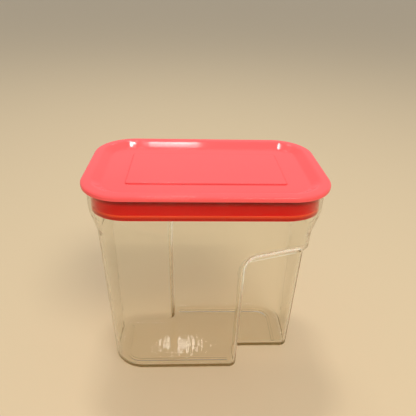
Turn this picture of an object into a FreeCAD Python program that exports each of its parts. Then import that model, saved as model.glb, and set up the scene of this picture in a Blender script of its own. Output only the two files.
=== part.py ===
import FreeCAD, Part

import math
import os

Vector = FreeCAD.Vector

# Sizes in millimetres. The origin is at the middle of the foot, on the surface that the jar stands on.
# +X runs along the long side, +Y across it towards the back, +Z up.

# Jar body, outside of the wall
collar_length = 193.4      # along X, at the straight collar that takes the lid
collar_width = 119.6       # along Y
collar_corner = 34.0       # plan radius of the four corners
floor_corner = 30.6        # the same at the floor; the shoulder's foot has a smaller one
body_height = 197.3        # from the standing surface to the collar's top edge
collar_depth = 22.4        # straight part of the collar
shoulder_depth = 20.0      # sloped part between the collar and the walls
shoulder_step = 5.3        # how far the shoulder draws in, on each side
end_taper = 3.0            # how far each end wall leans in from the shoulder to the floor
side_taper = 7.9           # the same for the front and the back
crease_round = 18.0        # soft bends above and below the shoulder
wall = 2.4
floor_thickness = 3.0
heel_round = 3.5           # outside edge between the walls and the floor
floor_round = 4.0          # inside corner between the walls and the floor
collar_edge_round = 0.8    # top edge of the collar

# Hand grips: one recess at the front right corner, the other at the back left
grip_step = 33.0           # from the middle to the upright step beside the recess, at the floor
grip_step_lean = 1.0       # how far the step leans over the recess at the ledge
grip_wall = 20.0           # from the middle to the recessed wall, at the floor
grip_wall_lean = 3.0       # how far that wall leans out by the ledge
ledge_drop = 44.4          # from the shoulder's foot down to the ledge, where it meets step and wall
ledge_slope = 13.5         # degrees, rising towards the end wall
ledge_tilt = 41.5          # degrees, rising from the recessed wall out to the front
ledge_corner = 10.0        # round between the step and the ledge, seen from the front
recess_round = 6.0         # inside corners of the recess
grip_edge_round = 7.0      # edges of the recess on the outside of the wall
grip_edge_inner = 4.6      # the same edges on the inside of the wall

# Foot: a low ridge under the floor, stopped short of the grips
foot_height = 1.0
foot_end_inset = 11.9      # from the floor's outline to the ridge, at the ends
foot_side_inset = 10.7     # the same at the front and the back
foot_width = 2.5
foot_corner = 14.0
foot_grip_gap = 8.0        # from a grip's outside to the ridge

# Lid
lid_corner = 35.1          # plan radius of the flange's corners
seat_gap = 0.2             # between the flange and the collar's top edge
flange_thickness = 2.2
lip_gap = 1.2              # between the collar and the flange's turned-down lip
lip_width = 2.1
lip_depth = 2.2            # below the flange's underside
flange_top_round = 2.0
lip_round = 1.0
rim_width = 8.0            # rolled rim, from the flange's edge to the start of the dish
dish_run = 7.5             # slope from the rim down to the dish's floor
dish_depth = 4.5
dish_thickness = 2.2
rim_round = 5.0            # soft bend from the rim into the dish
dish_round = 4.0           # soft bend at the foot of the dish's slope
panel_end_margin = 19.5    # from the dish's floor edge to the plain raised panel, at the ends
panel_side_margin = 15.6   # the same at the front and the back
panel_height = 1.0
panel_corner = 2.0
panel_edge_round = 0.5
plug_clearance = 0.5       # between the plug skirt and the collar
plug_rise = 1.1            # from the shoulder's bend up to the plug's foot
plug_thickness = 2.8
plug_edge_round = 0.6

# Seal ring in a groove at the plug's foot
seal_height = 4.3
seal_foot = 0.9            # plug left below the groove
groove_depth = 1.2
groove_clearance = 0.05
seal_clearance = 0.15      # between the seal and the collar
seal_round = 0.7

# Levels that follow from those sizes
collar_level = body_height - collar_depth
waist_level = collar_level - shoulder_depth
ledge_level = waist_level - ledge_drop
floor_level = foot_height + floor_thickness
flange_level = body_height + seat_gap
lip_level = flange_level - lip_depth
lid_top = flange_level + flange_thickness
dish_level = lid_top - dish_depth
plug_foot = collar_level + plug_rise
groove_low = plug_foot + seal_foot
groove_high = groove_low + seal_height

# Insets from the flange's edge that follow from those sizes
collar_inset = lip_width + lip_gap
dish_inset = rim_width + dish_run

# Insets from the collar's outside that follow from those sizes
plug_inset = wall + plug_clearance
seal_inset = wall + seal_clearance

up = Vector(0, 0, 1)
same = 1e-4                # two places closer than this are one
touching = 1e-3            # a point closer to a surface than this lies on it


def rounded_rectangle(length, width, corner, z):
    """Closed wire of four lines and four arcs, centred on the upright axis at height z."""
    bend = corner * (1 - math.sqrt(0.5))
    edges = []
    for quarter in range(4):
        across, along = (length / 2, width / 2) if quarter % 2 == 0 else (width / 2, length / 2)
        line_start = Vector(across, corner - along, z)
        line_end = Vector(across, along - corner, z)
        arc_middle = Vector(across - bend, along - bend, z)
        arc_end = Vector(across - corner, along, z)
        line = Part.makeLine(line_start, line_end)
        arc = Part.Arc(line_end, arc_middle, arc_end).toShape()
        for edge in (line, arc):
            edge.rotate(Vector(), up, 90 * quarter)
            edges.append(edge)
    return Part.Wire(edges)


def rounded_block(plan, low, high):
    """Upright block whose plan is a rounded rectangle, given as length, width and corner."""
    return Part.Face(rounded_rectangle(*plan, low)).extrude(Vector(0, 0, high - low))


def rounded_frustum(low_plan, low, high_plan, high):
    """Straight-sided solid between two rounded rectangles."""
    wires = [rounded_rectangle(*low_plan, low), rounded_rectangle(*high_plan, high)]
    return Part.makeLoft(wires, True, True)


def level_edges(shape, z):
    """Edges of a shape that lie flat at height z."""
    boxes = [(edge, edge.BoundBox) for edge in shape.Edges]
    return [edge for edge, box in boxes if abs(box.ZMin - z) < same and abs(box.ZMax - z) < same]


def ring_edges(shape, z, plan):
    """Edges at height z that lie on one rounded rectangle."""
    ring = rounded_rectangle(*plan, z)
    middles = [(edge, Part.Vertex(middle_of(edge))) for edge in level_edges(shape, z)]
    return [edge for edge, middle in middles if ring.distToShape(middle)[0] < touching]


def middle_of(edge):
    """Point half way along an edge."""
    return edge.valueAt((edge.FirstParameter + edge.LastParameter) / 2)


def both_ways_round(solid):
    """A solid and its copy after half a turn about the upright axis."""
    turned = solid.copy()
    turned.rotate(Vector(), up, 180)
    return solid, turned


def wall_plan(z, inset):
    """Plan of the jar's wall at height z, set in from the outside by inset."""
    tapered = min(1.0, max(0.0, (waist_level - z) / (waist_level - foot_height)))
    drawn_in = shoulder_step * min(1.0, max(0.0, (collar_level - z) / shoulder_depth)) + inset
    length = collar_length - 2 * (drawn_in + end_taper * tapered)
    width = collar_width - 2 * (drawn_in + side_taper * tapered)
    opened = (floor_corner - collar_corner + shoulder_step) * tapered
    return length, width, collar_corner - drawn_in + opened


def tapered_form(inset, low, high):
    """Solid through the wall's four levels, with the bends above and below the shoulder softened."""
    levels = (low, waist_level, collar_level, high)
    form = Part.makeLoft([rounded_rectangle(*wall_plan(z, inset), z) for z in levels], True, True)
    form = form.makeFillet(crease_round + inset, level_edges(form, waist_level))
    return form.makeFillet(crease_round - inset, level_edges(form, collar_level))


def grip_recess(grow):
    """Space of the front right hand grip, grown on all sides by grow, with its inner corners rounded."""
    slope = math.tan(math.radians(ledge_slope))
    tilt = math.tan(math.radians(ledge_tilt))
    low = -2 * collar_width
    high = 2 * body_height
    end = collar_length
    outwards = Vector(0, -1, tilt) * (2 * collar_width)

    step_lean = grip_step_lean / (ledge_level - foot_height)
    step_low = grip_step - grow + step_lean * (low - foot_height)
    step_high = grip_step - grow + grip_step_lean
    ledge_start = ledge_level - tilt * (grip_wall + grip_wall_lean)
    ledge_start += grow * (math.hypot(1, slope, tilt) - slope)
    ledge_end = ledge_start + slope * (end - step_high)
    outline = [(step_low, low), (step_high, ledge_start), (end, ledge_end), (end, low), (step_low, low)]
    face = Part.Face(Part.makePolygon([Vector(x, 0, z) for x, z in outline]))
    under_ledge = face.extrude(outwards)
    bend_start = Vector(step_high, 0, ledge_start)
    corner = Part.makeLine(bend_start, bend_start + outwards)
    bend = [e for e in under_ledge.Edges if corner.distToShape(Part.Vertex(middle_of(e)))[0] < touching]
    under_ledge = under_ledge.makeFillet(ledge_corner + grow, bend)

    wall_lean = grip_wall_lean / (ledge_level - foot_height)
    wall_low = grow - grip_wall - wall_lean * (low - foot_height)
    wall_high = grow - grip_wall - wall_lean * (high - foot_height)
    front = outwards.y
    outline = [(wall_low, low), (wall_high, high), (front, high), (front, low), (wall_low, low)]
    face = Part.Face(Part.makePolygon([Vector(0, y, z) for y, z in outline]))
    recess = under_ledge.common(face.extrude(Vector(end, 0, 0)))
    back = max(recess.Faces, key=lambda f: f.CenterOfMass.y)
    inner = [e for e in back.Edges if e.BoundBox.ZMax > 0 and e.BoundBox.XMin < end - same]
    return recess.makeFillet(recess_round + grow, inner)


def gripped_form(inset, low, high, edge_round, base_round):
    """The tapered form with both grips cut out, their edges softened and the foot of the walls rounded."""
    form = tapered_form(inset, low, high)
    for recess in both_ways_round(grip_recess(inset)):
        skins = (form.Shells[0], recess.Shells[0])
        form = form.cut(recess)
        rim = []
        for edge in form.Edges:
            point = Part.Vertex(middle_of(edge))
            on_both = all(skin.distToShape(point)[0] < touching for skin in skins)
            if on_both and edge.BoundBox.ZMax > low + same:
                rim.append(edge)
        form = form.makeFillet(edge_round, rim)
    return form.makeFillet(base_round, level_edges(form, low))


def foot_ridge():
    """Low ridge under the floor, stopped short of the two grips."""
    floor_length, floor_width = wall_plan(foot_height, 0)[:2]
    length = floor_length - 2 * foot_end_inset
    width = floor_width - 2 * foot_side_inset
    within = 2 * foot_width
    ridge = rounded_block((length, width, foot_corner), 0, floor_level)
    inner = (length - within, width - within, foot_corner - foot_width)
    ridge = ridge.cut(rounded_block(inner, 0, floor_level))
    for recess in both_ways_round(grip_recess(foot_grip_gap)):
        ridge = ridge.cut(recess)
    return ridge


def make_jar_body():
    """Clear moulding: the outer form, hollowed by the same form set in by the wall, on its foot ridge."""
    outside = gripped_form(0, foot_height, body_height, grip_edge_round, heel_round)
    inside = gripped_form(wall, floor_level, body_height + wall, grip_edge_inner, floor_round)
    body = outside.fuse(foot_ridge()).cut(inside)
    return body.makeFillet(collar_edge_round, level_edges(body, body_height))


def collar_plan(inset):
    """Plan of the collar, set in from its outside by inset."""
    return collar_length - 2 * inset, collar_width - 2 * inset, collar_corner - inset


def lid_plan(inset):
    """Plan of the lid, set in from the flange's edge by inset."""
    beyond = 2 * (collar_inset - inset)
    return collar_length + beyond, collar_width + beyond, lid_corner - inset


def dish_pan():
    """Sloped pan under the dish, of even thickness, as deep as the plug skirt's inside."""
    slope = math.atan2(dish_depth, dish_run)
    low = dish_level - dish_thickness
    low_inset = dish_inset - dish_thickness * math.tan(slope / 2)
    high_inset = low_inset - (lid_top - low) / math.tan(slope)
    pan = rounded_frustum(lid_plan(low_inset), low, lid_plan(high_inset), lid_top)
    return pan.common(rounded_block(collar_plan(plug_inset), low, lid_top))


def make_lid():
    """Coloured moulding: flange with a turned-down lip, dished top with a panel, hollow plug skirt."""
    flange = rounded_block(lid_plan(0), lip_level, lid_top)
    under_flange = rounded_block(lid_plan(lip_width), lip_level, flange_level)
    flange = flange.cut(under_flange)
    plug = rounded_block(collar_plan(plug_inset), plug_foot, flange_level)
    hollow = rounded_block(collar_plan(plug_inset + plug_thickness), plug_foot, lid_top)
    dish = rounded_frustum(lid_plan(dish_inset), dish_level, lid_plan(rim_width), lid_top)
    lid = flange.fuse(plug).cut(hollow).fuse(dish_pan()).cut(dish).removeSplitter()
    lid = lid.makeFillet(flange_top_round, ring_edges(lid, lid_top, lid_plan(0)))
    lip = ring_edges(lid, lip_level, lid_plan(0)) + ring_edges(lid, lip_level, lid_plan(lip_width))
    lid = lid.makeFillet(lip_round, lip)
    lid = lid.makeFillet(rim_round, ring_edges(lid, lid_top, lid_plan(rim_width)))
    lid = lid.makeFillet(dish_round, ring_edges(lid, dish_level, lid_plan(dish_inset)))
    lid = lid.makeFillet(plug_edge_round, level_edges(lid, plug_foot))
    groove = rounded_block(lid_plan(0), groove_low, groove_high)
    lid = lid.cut(groove.cut(rounded_block(collar_plan(plug_inset + groove_depth), groove_low, groove_high)))
    return lid.fuse(raised_panel())


def raised_panel():
    """Plain raised panel in the middle of the dish, with a softened edge."""
    length, width = lid_plan(dish_inset)[:2]
    plan = (length - 2 * panel_end_margin, width - 2 * panel_side_margin, panel_corner)
    top = dish_level + panel_height
    panel = rounded_block(plan, dish_level - dish_thickness / 2, top)
    return panel.makeFillet(panel_edge_round, level_edges(panel, top))


def make_seal_ring():
    """Soft ring that fills the plug's groove and stands out to the collar's bore."""
    low = groove_low + groove_clearance
    high = groove_high - groove_clearance
    ring = rounded_block(collar_plan(seal_inset), low, high)
    ring = ring.makeFillet(seal_round, level_edges(ring, low) + level_edges(ring, high))
    inner = collar_plan(plug_inset + groove_depth - groove_clearance)
    return ring.cut(rounded_block(inner, low, high))


os.makedirs("parts", exist_ok=True)
pieces = {"jar_body": make_jar_body(), "lid": make_lid(), "seal_ring": make_seal_ring()}
for name, piece in pieces.items():
    print(name, piece.isValid(), round(piece.Volume), len(piece.Solids), len(piece.Faces))
    piece.exportStep(f"parts/{name}.step")
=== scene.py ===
import math

import bpy
from mathutils import Matrix, Vector

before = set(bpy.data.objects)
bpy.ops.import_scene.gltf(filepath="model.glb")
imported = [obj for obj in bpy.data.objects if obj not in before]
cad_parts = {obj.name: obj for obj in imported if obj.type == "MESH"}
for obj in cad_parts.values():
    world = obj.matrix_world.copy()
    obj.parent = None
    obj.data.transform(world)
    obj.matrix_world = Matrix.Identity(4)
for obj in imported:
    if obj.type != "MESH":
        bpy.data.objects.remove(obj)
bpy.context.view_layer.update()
print("frame loaded, nodes:", ", ".join(sorted(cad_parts)))


def paint(red, green, blue):
    # screen colour 0 to 255 as linear light, with alpha 1
    shares = [value / 255 for value in (red, green, blue)]
    linear = [s / 12.92 if s <= 0.04045 else ((s + 0.055) / 1.055) ** 2.4 for s in shares]
    return (*linear, 1.0)


def addNode(tree, kind, values=None, **settings):
    # new node with its settings, and each input set to a value or linked to a socket
    node = tree.nodes.new(kind)
    for key, value in settings.items():
        setattr(node, key, value)
    for key, value in (values or {}).items():
        if isinstance(value, bpy.types.NodeSocket):
            tree.links.new(value, node.inputs[key])
        else:
            node.inputs[key].default_value = value
    return node


def calculate(tree, operation, *values):
    return addNode(tree, "ShaderNodeMath", dict(enumerate(values)), operation=operation).outputs["Value"]


def ramp(tree, value, start, end, low=0.0, high=1.0):
    # low where the value is at start, high where it is at end, and held beyond them
    ends = {"From Min": start, "From Max": end, "To Min": low, "To Max": high}
    return addNode(tree, "ShaderNodeMapRange", {"Value": value, **ends}).outputs["Result"]


def noise(tree, place, scale, detail):
    values = {"Vector": place, "Scale": scale, "Detail": detail}
    return addNode(tree, "ShaderNodeTexNoise", values).outputs["Fac"]


def mixColours(tree, share, first, second):
    # the Mix node's colours are its inputs 6 and 7 and its output 2
    values = {"Factor": share, 6: first, 7: second}
    return addNode(tree, "ShaderNodeMix", values, data_type="RGBA").outputs[2]


def mixShaders(tree, share, first, second):
    return addNode(tree, "ShaderNodeMixShader", {0: share, 1: first, 2: second}).outputs["Shader"]


def newGroup(name, inputs, outputs):
    # shader node group with named number sockets; a default of None stands for a vector
    tree = bpy.data.node_groups.new(name, "ShaderNodeTree")
    for socketName, default in inputs.items():
        kind = "NodeSocketVector" if default is None else "NodeSocketFloat"
        socket = tree.interface.new_socket(socketName, in_out="INPUT", socket_type=kind)
        if default is not None:
            socket.default_value = default
    for socketName in outputs:
        tree.interface.new_socket(socketName, in_out="OUTPUT", socket_type="NodeSocketFloat")
    return tree, addNode(tree, "NodeGroupInput").outputs, addNode(tree, "NodeGroupOutput").inputs


def useGroup(tree, group, values):
    return addNode(tree, "ShaderNodeGroup", values, node_tree=group).outputs


def newMaterial(name):
    material = bpy.data.materials.new(name)
    material.use_nodes = True
    tree = material.node_tree
    tree.nodes.clear()
    place = addNode(tree, "ShaderNodeTexCoord").outputs["Object"]
    output = addNode(tree, "ShaderNodeOutputMaterial")
    return material, tree, place, output


def addShell(tree, output, values):
    # plain surface of an opaque piece
    shell = addNode(tree, "ShaderNodeBsdfPrincipled", values)
    tree.links.new(shell.outputs["BSDF"], output.inputs["Surface"])


scuffShape = {
    "turnAxis": (0.35, 0.5, 0.8),   # what the scuffs' direction turns about
    "level": 0.5,                   # noise level that a hairline follows
    "patchEdge": (0.5, 0.72),       # noise level at a patch's edge, and where the patch is full
    "patchDetail": 2.0,
}


# fine hairline scuffs: noise stretched along one direction, kept only near one level,
# and only inside soft patches of a second, larger noise
def buildScuffs():
    sockets = {"Vector": None, "Turn": 0.6, "Length": 60.0, "Fineness": 2600.0,
               "Patches": 34.0, "Width": 0.012}
    tree, given, out = newGroup("hairlineScuffs", sockets, ["Mask"])
    turned = addNode(tree, "ShaderNodeVectorRotate",
                     {"Vector": given["Vector"], "Axis": scuffShape["turnAxis"], "Angle": given["Turn"]},
                     rotation_type="AXIS_ANGLE")
    stretch = addNode(tree, "ShaderNodeCombineXYZ",
                      {"X": given["Length"], "Y": given["Fineness"], "Z": given["Fineness"]})
    lines = addNode(tree, "ShaderNodeVectorMath",
                    {0: turned.outputs["Vector"], 1: stretch.outputs["Vector"]}, operation="MULTIPLY")
    hair = noise(tree, lines.outputs["Vector"], 1.0, 0.0)
    away = calculate(tree, "ABSOLUTE", calculate(tree, "SUBTRACT", hair, scuffShape["level"]))
    thin = ramp(tree, away, 0.0, given["Width"], 1.0, 0.0)
    patch = noise(tree, given["Vector"], given["Patches"], scuffShape["patchDetail"])
    inside = ramp(tree, patch, *scuffShape["patchEdge"])
    tree.links.new(calculate(tree, "MULTIPLY", thin, inside), out["Mask"])
    return tree


skinDetail = {"waves": 1.0, "grain": 1.0, "clouds": 4.0}   # how rich each noise is


# moulded skin: slow waves of the mould's polish plus a very fine grain, as one height,
# and a cloudy value that changes the gloss from place to place
def buildMouldSkin():
    sockets = {"Vector": None, "Waves": 26.0, "Grain": 1400.0, "Grain Share": 0.1, "Clouds": 14.0}
    tree, given, out = newGroup("mouldSkin", sockets, ["Height", "Cloud"])
    waves = noise(tree, given["Vector"], given["Waves"], skinDetail["waves"])
    grain = noise(tree, given["Vector"], given["Grain"], skinDetail["grain"])
    clouds = noise(tree, given["Vector"], given["Clouds"], skinDetail["clouds"])
    tree.links.new(calculate(tree, "MULTIPLY_ADD", grain, given["Grain Share"], waves), out["Height"])
    tree.links.new(clouds, out["Cloud"])
    return tree


# distance in plan from a rounded rectangle's outline, below zero inside it:
# the length of what lies beyond the corners' centres, less the corner radius
def buildPlanDistance():
    sockets = {"Vector": None, "Half Length": 0.1, "Half Width": 0.06, "Corner": 0.03}
    tree, given, out = newGroup("planDistance", sockets, ["Distance"])
    split = addNode(tree, "ShaderNodeSeparateXYZ", {"Vector": given["Vector"]}).outputs
    beyond = {}
    for axis, half in (("X", "Half Length"), ("Y", "Half Width")):
        centre = calculate(tree, "SUBTRACT", given[half], given["Corner"])
        past = calculate(tree, "SUBTRACT", calculate(tree, "ABSOLUTE", split[axis]), centre)
        beyond[axis] = calculate(tree, "MAXIMUM", past, 0.0)
    plan = addNode(tree, "ShaderNodeCombineXYZ", beyond).outputs["Vector"]
    reach = addNode(tree, "ShaderNodeVectorMath", {0: plan}, operation="LENGTH").outputs["Value"]
    tree.links.new(calculate(tree, "SUBTRACT", reach, given["Corner"]), out["Distance"])
    return tree


scuffs = buildScuffs()
mouldSkin = buildMouldSkin()
planDistance = buildPlanDistance()
print("shared effects built")


clearWall = {
    "tint": paint(252, 251, 247),
    "gloss": 0.012,                       # roughness of the polished wall
    "scuffedGloss": 0.12,                 # roughness inside a hairline scuff
    "bend": 1.42,                         # index of refraction
    "mirror": (0.3, 0.3, 0.3, 1.0),       # how much of the room the wall mirrors
    "skin": {"Waves": 18.0, "Grain": 900.0, "Grain Share": 0.01},
    "scuffs": {"Turn": 0.9, "Patches": 26.0},
    "waveDepth": 0.000014,                # metres
    "flowStretch": (260.0, 70.0, 70.0),   # how fine the moulding's flow streaks are along X, Y and Z
    "flowDetail": 1.0,
    "flowShare": 8.0,                     # their height in the floor, in wave depths
    "floorTop": (0.0045, 0.008),          # metres up, where the streaks begin to fade and where they end
    "shadowTint": paint(252, 251, 248),
    "depthTint": paint(188, 180, 146),    # what is left of white light deep in the plastic
    "depthDensity": 20.0,                 # how soon, per metre
    "edgeTurns": 1.5,                     # turns of light inside the wall before the painted edge colours below take over
    "wallPaintedShade": paint(118, 101, 66),      # painted shade: dark edge colour along the end walls and the heel
    "stepPaintedLight": paint(186, 172, 152),     # painted light: paler edge colour along the grips' steps
    "ledgePaintedHighlight": paint(232, 252, 255),    # painted highlight: near-white edge colour at the ledges
    "heelRise": (0.006, 0.02),            # metres up, from the heel to the steps
    "ledgeRise": (0.085, 0.114),          # metres up, from the steps to the ledges
    "endReach": (0.078, 0.086),           # metres out along X, from the grips to the end walls
}


def makeClearPlastic():
    material, tree, place, output = newMaterial("clearPlastic")
    split = addNode(tree, "ShaderNodeSeparateXYZ", {"Vector": place}).outputs
    path = addNode(tree, "ShaderNodeLightPath").outputs

    # clear wall with scuffs, mould waves and the floor's flow streaks
    marks = useGroup(tree, scuffs, {"Vector": place, **clearWall["scuffs"]})
    rough = ramp(tree, marks["Mask"], 0.0, 1.0, clearWall["gloss"], clearWall["scuffedGloss"])
    skin = useGroup(tree, mouldSkin, {"Vector": place, **clearWall["skin"]})
    stretched = addNode(tree, "ShaderNodeVectorMath",
                        {0: place, 1: clearWall["flowStretch"]}, operation="MULTIPLY")
    flow = noise(tree, stretched.outputs["Vector"], 1.0, clearWall["flowDetail"])
    full, gone = clearWall["floorTop"]
    inFloor = ramp(tree, split["Z"], gone, full, high=clearWall["flowShare"])
    height = calculate(tree, "MULTIPLY_ADD", flow, inFloor, skin["Height"])
    bump = addNode(tree, "ShaderNodeBump", {"Height": height, "Distance": clearWall["waveDepth"]})
    clear = addNode(tree, "ShaderNodeBsdfPrincipled", {
        "Base Color": clearWall["tint"], "Roughness": rough, "Normal": bump.outputs["Normal"],
        "IOR": clearWall["bend"], "Specular Tint": clearWall["mirror"], "Transmission Weight": 1.0})

    # once light has turned inside the wall, the edge it reaches shows a painted colour: painted shade at
    # the end walls and the heel, painted light at the grips' steps and a painted highlight at the ledges
    inner, outer = clearWall["endReach"]
    within = ramp(tree, calculate(tree, "ABSOLUTE", split["X"]), outer, inner)
    atGrip = ramp(tree, split["Z"], *clearWall["heelRise"], high=within)
    atLedge = ramp(tree, split["Z"], *clearWall["ledgeRise"])
    paintedGripLight = mixColours(tree, atLedge, clearWall["stepPaintedLight"], clearWall["ledgePaintedHighlight"])
    paintedEdgeLight = mixColours(tree, atGrip, clearWall["wallPaintedShade"], paintedGripLight)
    onward = addNode(tree, "ShaderNodeBsdfTranslucent", {"Color": paintedEdgeLight})
    back = addNode(tree, "ShaderNodeBsdfDiffuse", {"Color": paintedEdgeLight})
    glow = addNode(tree, "ShaderNodeAddShader", {0: onward.outputs["BSDF"], 1: back.outputs["BSDF"]})
    spent = calculate(tree, "GREATER_THAN", path["Glossy Depth"], clearWall["edgeTurns"])
    edged = mixShaders(tree, spent, clear.outputs["BSDF"], glow.outputs["Shader"])

    # lamps and soft light reach straight through the wall
    through = addNode(tree, "ShaderNodeBsdfTransparent", {"Color": clearWall["shadowTint"]}).outputs["BSDF"]
    lit = mixShaders(tree, path["Is Diffuse Ray"], edged, through)
    mixed = mixShaders(tree, path["Is Shadow Ray"], lit, through)
    depth = addNode(tree, "ShaderNodeVolumeAbsorption",
                    {"Color": clearWall["depthTint"], "Density": clearWall["depthDensity"]})
    tree.links.new(mixed, output.inputs["Surface"])
    tree.links.new(depth.outputs["Volume"], output.inputs["Volume"])
    return material


lidLook = {
    "top": paint(252, 98, 95),         # coral on the open top
    "topCloud": paint(248, 91, 89),    # the same, where the pigment lies thicker
    "skirt": paint(226, 0, 0),         # deeper red painted on the plug under the flange, as painted shade
    "shaded": paint(126, 0, 0),        # the skirt's top, in the flange's corner
    "hollow": paint(246, 74, 66),      # inside of the plug and under the dish
    "skirtTop": 0.1950,                # metres up, where the deeper red ends
    "cornerShade": (0.1885, 0.1922),   # metres up, where the flange's corner darkens the skirt
    # outlines of the plug and of the raised panel, metres
    "skirtPlan": {"Half Length": 0.0938, "Half Width": 0.0569, "Corner": 0.0311},
    "panelPlan": {"Half Length": 0.065, "Half Width": 0.032, "Corner": 0.002},
    "skirtDepth": 0.0014,              # metres in from the plug's face that count as the skirt
    "panelLine": 0.0012,               # half width of the painted shade line along the panel's edge, metres
    "panelShadeShare": 0.4,                  # share of the painted shade colour in that line
    "panelShade": paint(200, 48, 46),
    "bend": 1.4,                       # index of refraction
    "shine": 0.2,                      # strength of the reflections
    "gloss": 0.06,                     # roughness where the skin is clear
    "cloudyGloss": 0.1,                # and where it is cloudy
    "cloudRange": (0.3, 0.7),          # cloud values that count as clear and as cloudy
    "skin": {"Waves": 30.0, "Grain": 2200.0, "Grain Share": 0.12},
    "grainDepth": 0.000008,            # metres
}


def makeLidPlastic():
    material, tree, place, output = newMaterial("coralPlastic")
    rise = addNode(tree, "ShaderNodeSeparateXYZ", {"Vector": place}).outputs["Z"]
    skin = useGroup(tree, mouldSkin, {"Vector": place, **lidLook["skin"]})

    # plug and hollow underside, with painted shade on the plug: deeper red under the flange, darker still
    # in the flange's corner
    fromSkirt = useGroup(tree, planDistance, {"Vector": place, **lidLook["skirtPlan"]})
    onSkirt = calculate(tree, "GREATER_THAN", fromSkirt["Distance"], -lidLook["skirtDepth"])
    inCorner = ramp(tree, rise, *lidLook["cornerShade"])
    skirt = mixColours(tree, inCorner, lidLook["skirt"], lidLook["shaded"])
    under = mixColours(tree, onSkirt, lidLook["hollow"], skirt)

    # open top with painted shade: a darker line along the raised panel's edge
    fromPanel = useGroup(tree, planDistance, {"Vector": place, **lidLook["panelPlan"]})
    fromEdge = calculate(tree, "ABSOLUTE", fromPanel["Distance"])
    line = ramp(tree, fromEdge, lidLook["panelLine"], 0.0, high=lidLook["panelShadeShare"])
    cloudy = mixColours(tree, skin["Cloud"], lidLook["top"], lidLook["topCloud"])
    lined = mixColours(tree, line, cloudy, lidLook["panelShade"])

    above = calculate(tree, "GREATER_THAN", rise, lidLook["skirtTop"])
    colour = mixColours(tree, above, under, lined)
    rough = ramp(tree, skin["Cloud"], *lidLook["cloudRange"], lidLook["gloss"], lidLook["cloudyGloss"])
    bump = addNode(tree, "ShaderNodeBump", {"Height": skin["Height"], "Distance": lidLook["grainDepth"]})
    addShell(tree, output, {
        "Base Color": colour, "Roughness": rough, "Normal": bump.outputs["Normal"],
        "IOR": lidLook["bend"], "Specular IOR Level": lidLook["shine"]})
    return material


sealLook = {
    "foot": paint(186, 16, 4),       # painted shade on the lower part, in the plug's shade
    "beadPaintedHighlight": paint(240, 72, 26),      # painted highlight along the upper edge
    "beadReach": (0.1785, 0.1806),   # metres up, from the painted shade to the painted highlight
    "dusty": 0.12,                   # share of lighter clouds
    "bend": 1.45,                    # index of refraction
    "shine": 0.2,                    # strength of its reflections
    "gloss": 0.34,                   # roughness where the skin is clear
    "cloudyGloss": 0.5,              # and where it is cloudy
    "skin": {"Waves": 60.0, "Grain": 2600.0, "Clouds": 40.0},
    "grainDepth": 0.00002,           # metres
}


def makeSealRubber():
    material, tree, place, output = newMaterial("sealRubber")
    rise = addNode(tree, "ShaderNodeSeparateXYZ", {"Vector": place}).outputs["Z"]
    skin = useGroup(tree, mouldSkin, {"Vector": place, **sealLook["skin"]})
    # painted light: painted shade at the foot turning to a painted highlight at the upper edge, with dust
    # clouds mixed in
    raised = ramp(tree, rise, *sealLook["beadReach"])
    dustAndPaintedLight = calculate(tree, "MULTIPLY_ADD", skin["Cloud"], sealLook["dusty"], raised)
    colour = mixColours(tree, dustAndPaintedLight, sealLook["foot"], sealLook["beadPaintedHighlight"])
    rough = ramp(tree, skin["Cloud"], 0.0, 1.0, sealLook["gloss"], sealLook["cloudyGloss"])
    bump = addNode(tree, "ShaderNodeBump", {"Height": skin["Height"], "Distance": sealLook["grainDepth"]})
    addShell(tree, output, {
        "Base Color": colour, "Roughness": rough, "Normal": bump.outputs["Normal"],
        "IOR": sealLook["bend"], "Specular IOR Level": sealLook["shine"]})
    return material


finishes = {"jar_body": makeClearPlastic(), "lid": makeLidPlastic(), "seal_ring": makeSealRubber()}
for nodeName, material in finishes.items():
    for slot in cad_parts[nodeName].material_slots:
        slot.material = material
print("finishes on", ", ".join(finishes))


room = {
    "floor": paint(214, 189, 148),
    "floorGloss": 0.6,               # roughness
    "floorReach": 14.0,              # metres each way
    "floorDrop": 0.0003,             # metres under the foot
    "skyColour": (0.9, 0.94, 1.0, 1.0),
    "skyFront": 0.52,                # strength towards the viewer's side
    "skyBack": 0.64,                 # strength behind the jar
    "skyTurn": 0.6,                  # how far to the front and the back they are reached, of 1
}


def makeFloor():
    reach, low = room["floorReach"], -room["floorDrop"]
    mesh = bpy.data.meshes.new("floor")
    corners = [(-reach, -reach, low), (reach, -reach, low), (reach, reach, low), (-reach, reach, low)]
    mesh.from_pydata(corners, [], [(0, 1, 2, 3)])
    floor = bpy.data.objects.new("floor", mesh)
    bpy.context.scene.collection.objects.link(floor)
    material, tree, _, output = newMaterial("paleFloor")
    addShell(tree, output, {"Base Color": room["floor"], "Roughness": room["floorGloss"]})
    mesh.materials.append(material)


def makeWorld():
    world = bpy.data.worlds.new("paleRoom")
    world.use_nodes = True
    tree = world.node_tree
    tree.nodes.clear()
    look = addNode(tree, "ShaderNodeTexCoord").outputs["Generated"]
    split = addNode(tree, "ShaderNodeSeparateXYZ", {"Vector": look})
    strength = addNode(tree, "ShaderNodeMapRange", {
        "Value": split.outputs["Y"], "From Min": -room["skyTurn"], "From Max": room["skyTurn"],
        "To Min": room["skyFront"], "To Max": room["skyBack"]}, interpolation_type="SMOOTHSTEP")
    glow = addNode(tree, "ShaderNodeBackground",
                   {"Color": room["skyColour"], "Strength": strength.outputs["Result"]})
    output = addNode(tree, "ShaderNodeOutputWorld")
    tree.links.new(glow.outputs["Background"], output.inputs["Surface"])
    bpy.context.scene.world = world


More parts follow.
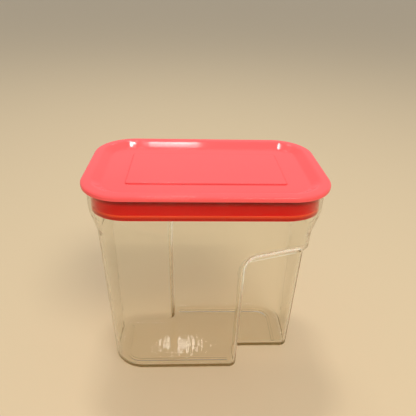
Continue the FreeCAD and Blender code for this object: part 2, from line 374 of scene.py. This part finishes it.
# places, aims and sizes in metres, power in watts
lamps = {
    "ceilingPanel": {"place": (-0.084, 0.289, 1.7), "aim": (-0.084, 0.289, 0.1),
                     "size": (0.222, 0.05), "power": 5.2},
    "rearLamp": {"place": (-0.055, 0.97, 1.055), "aim": (0, 0, 0.1),
                 "size": (0.15, 0.06), "power": 0.3, "shape": "ELLIPSE"},
    "rearPanel": {"place": (-0.2, 0.75, 1.45), "aim": (0, 0, 0.1),
                  "size": (0.3, 0.12), "power": 2.0},
    "frontLamp": {"place": (-0.09, -1.17, 0.64), "aim": (0, 0, 0.15),
                  "size": (0.14, 0.04), "power": 2.2},
    "frontSoftbox": {"place": (0.5, -0.95, 1.7), "aim": (0, 0, 0.1),
                     "size": (0.7, 0.6), "power": 16.0},
}


def makeLamp(name, lamp):
    light = bpy.data.lights.new(name, "AREA")
    light.shape = lamp.get("shape", "RECTANGLE")
    light.size, light.size_y = lamp["size"]
    light.energy = lamp["power"]
    holder = bpy.data.objects.new(name, light)
    bpy.context.scene.collection.objects.link(holder)
    holder.location = lamp["place"]
    beam = Vector(lamp["aim"]) - Vector(lamp["place"])
    holder.rotation_euler = beam.to_track_quat("-Z", "Y").to_euler()


makeFloor()
makeWorld()
for lampName, lamp in lamps.items():
    makeLamp(lampName, lamp)
print("floor, world and lamps ready")


view = {
    "place": (-0.013901, -0.337918, 0.343189),   # metres
    "yaw": 2.869,                                # degrees right of straight across
    "pitch": 28.931,                             # degrees down
    "roll": -1.601,                              # degrees
    "lens": 36.78,                               # millimetres
    "sensor": 36.0,                              # millimetres
    "nearest": 0.01,                             # metres, closer things aren't drawn
}


def makeCamera():
    yaw, pitch, roll = (math.radians(view[key]) for key in ("yaw", "pitch", "roll"))
    ahead = Vector((math.sin(yaw) * math.cos(pitch), math.cos(yaw) * math.cos(pitch), -math.sin(pitch)))
    right = Vector((math.cos(yaw), -math.sin(yaw), 0))
    down = ahead.cross(right)
    across = math.cos(roll) * right + math.sin(roll) * down
    upward = math.sin(roll) * right - math.cos(roll) * down
    lens = bpy.data.cameras.new("photoView")
    lens.lens, lens.sensor_width = view["lens"], view["sensor"]
    lens.clip_start = view["nearest"]
    camera = bpy.data.objects.new("photoView", lens)
    bpy.context.scene.collection.objects.link(camera)
    turn = Matrix((across, upward, -ahead)).transposed()
    camera.matrix_world = Matrix.Translation(view["place"]) @ turn.to_4x4()
    bpy.context.scene.camera = camera


makeCamera()
bpy.context.scene.view_settings.view_transform = "Standard"
print("camera set")
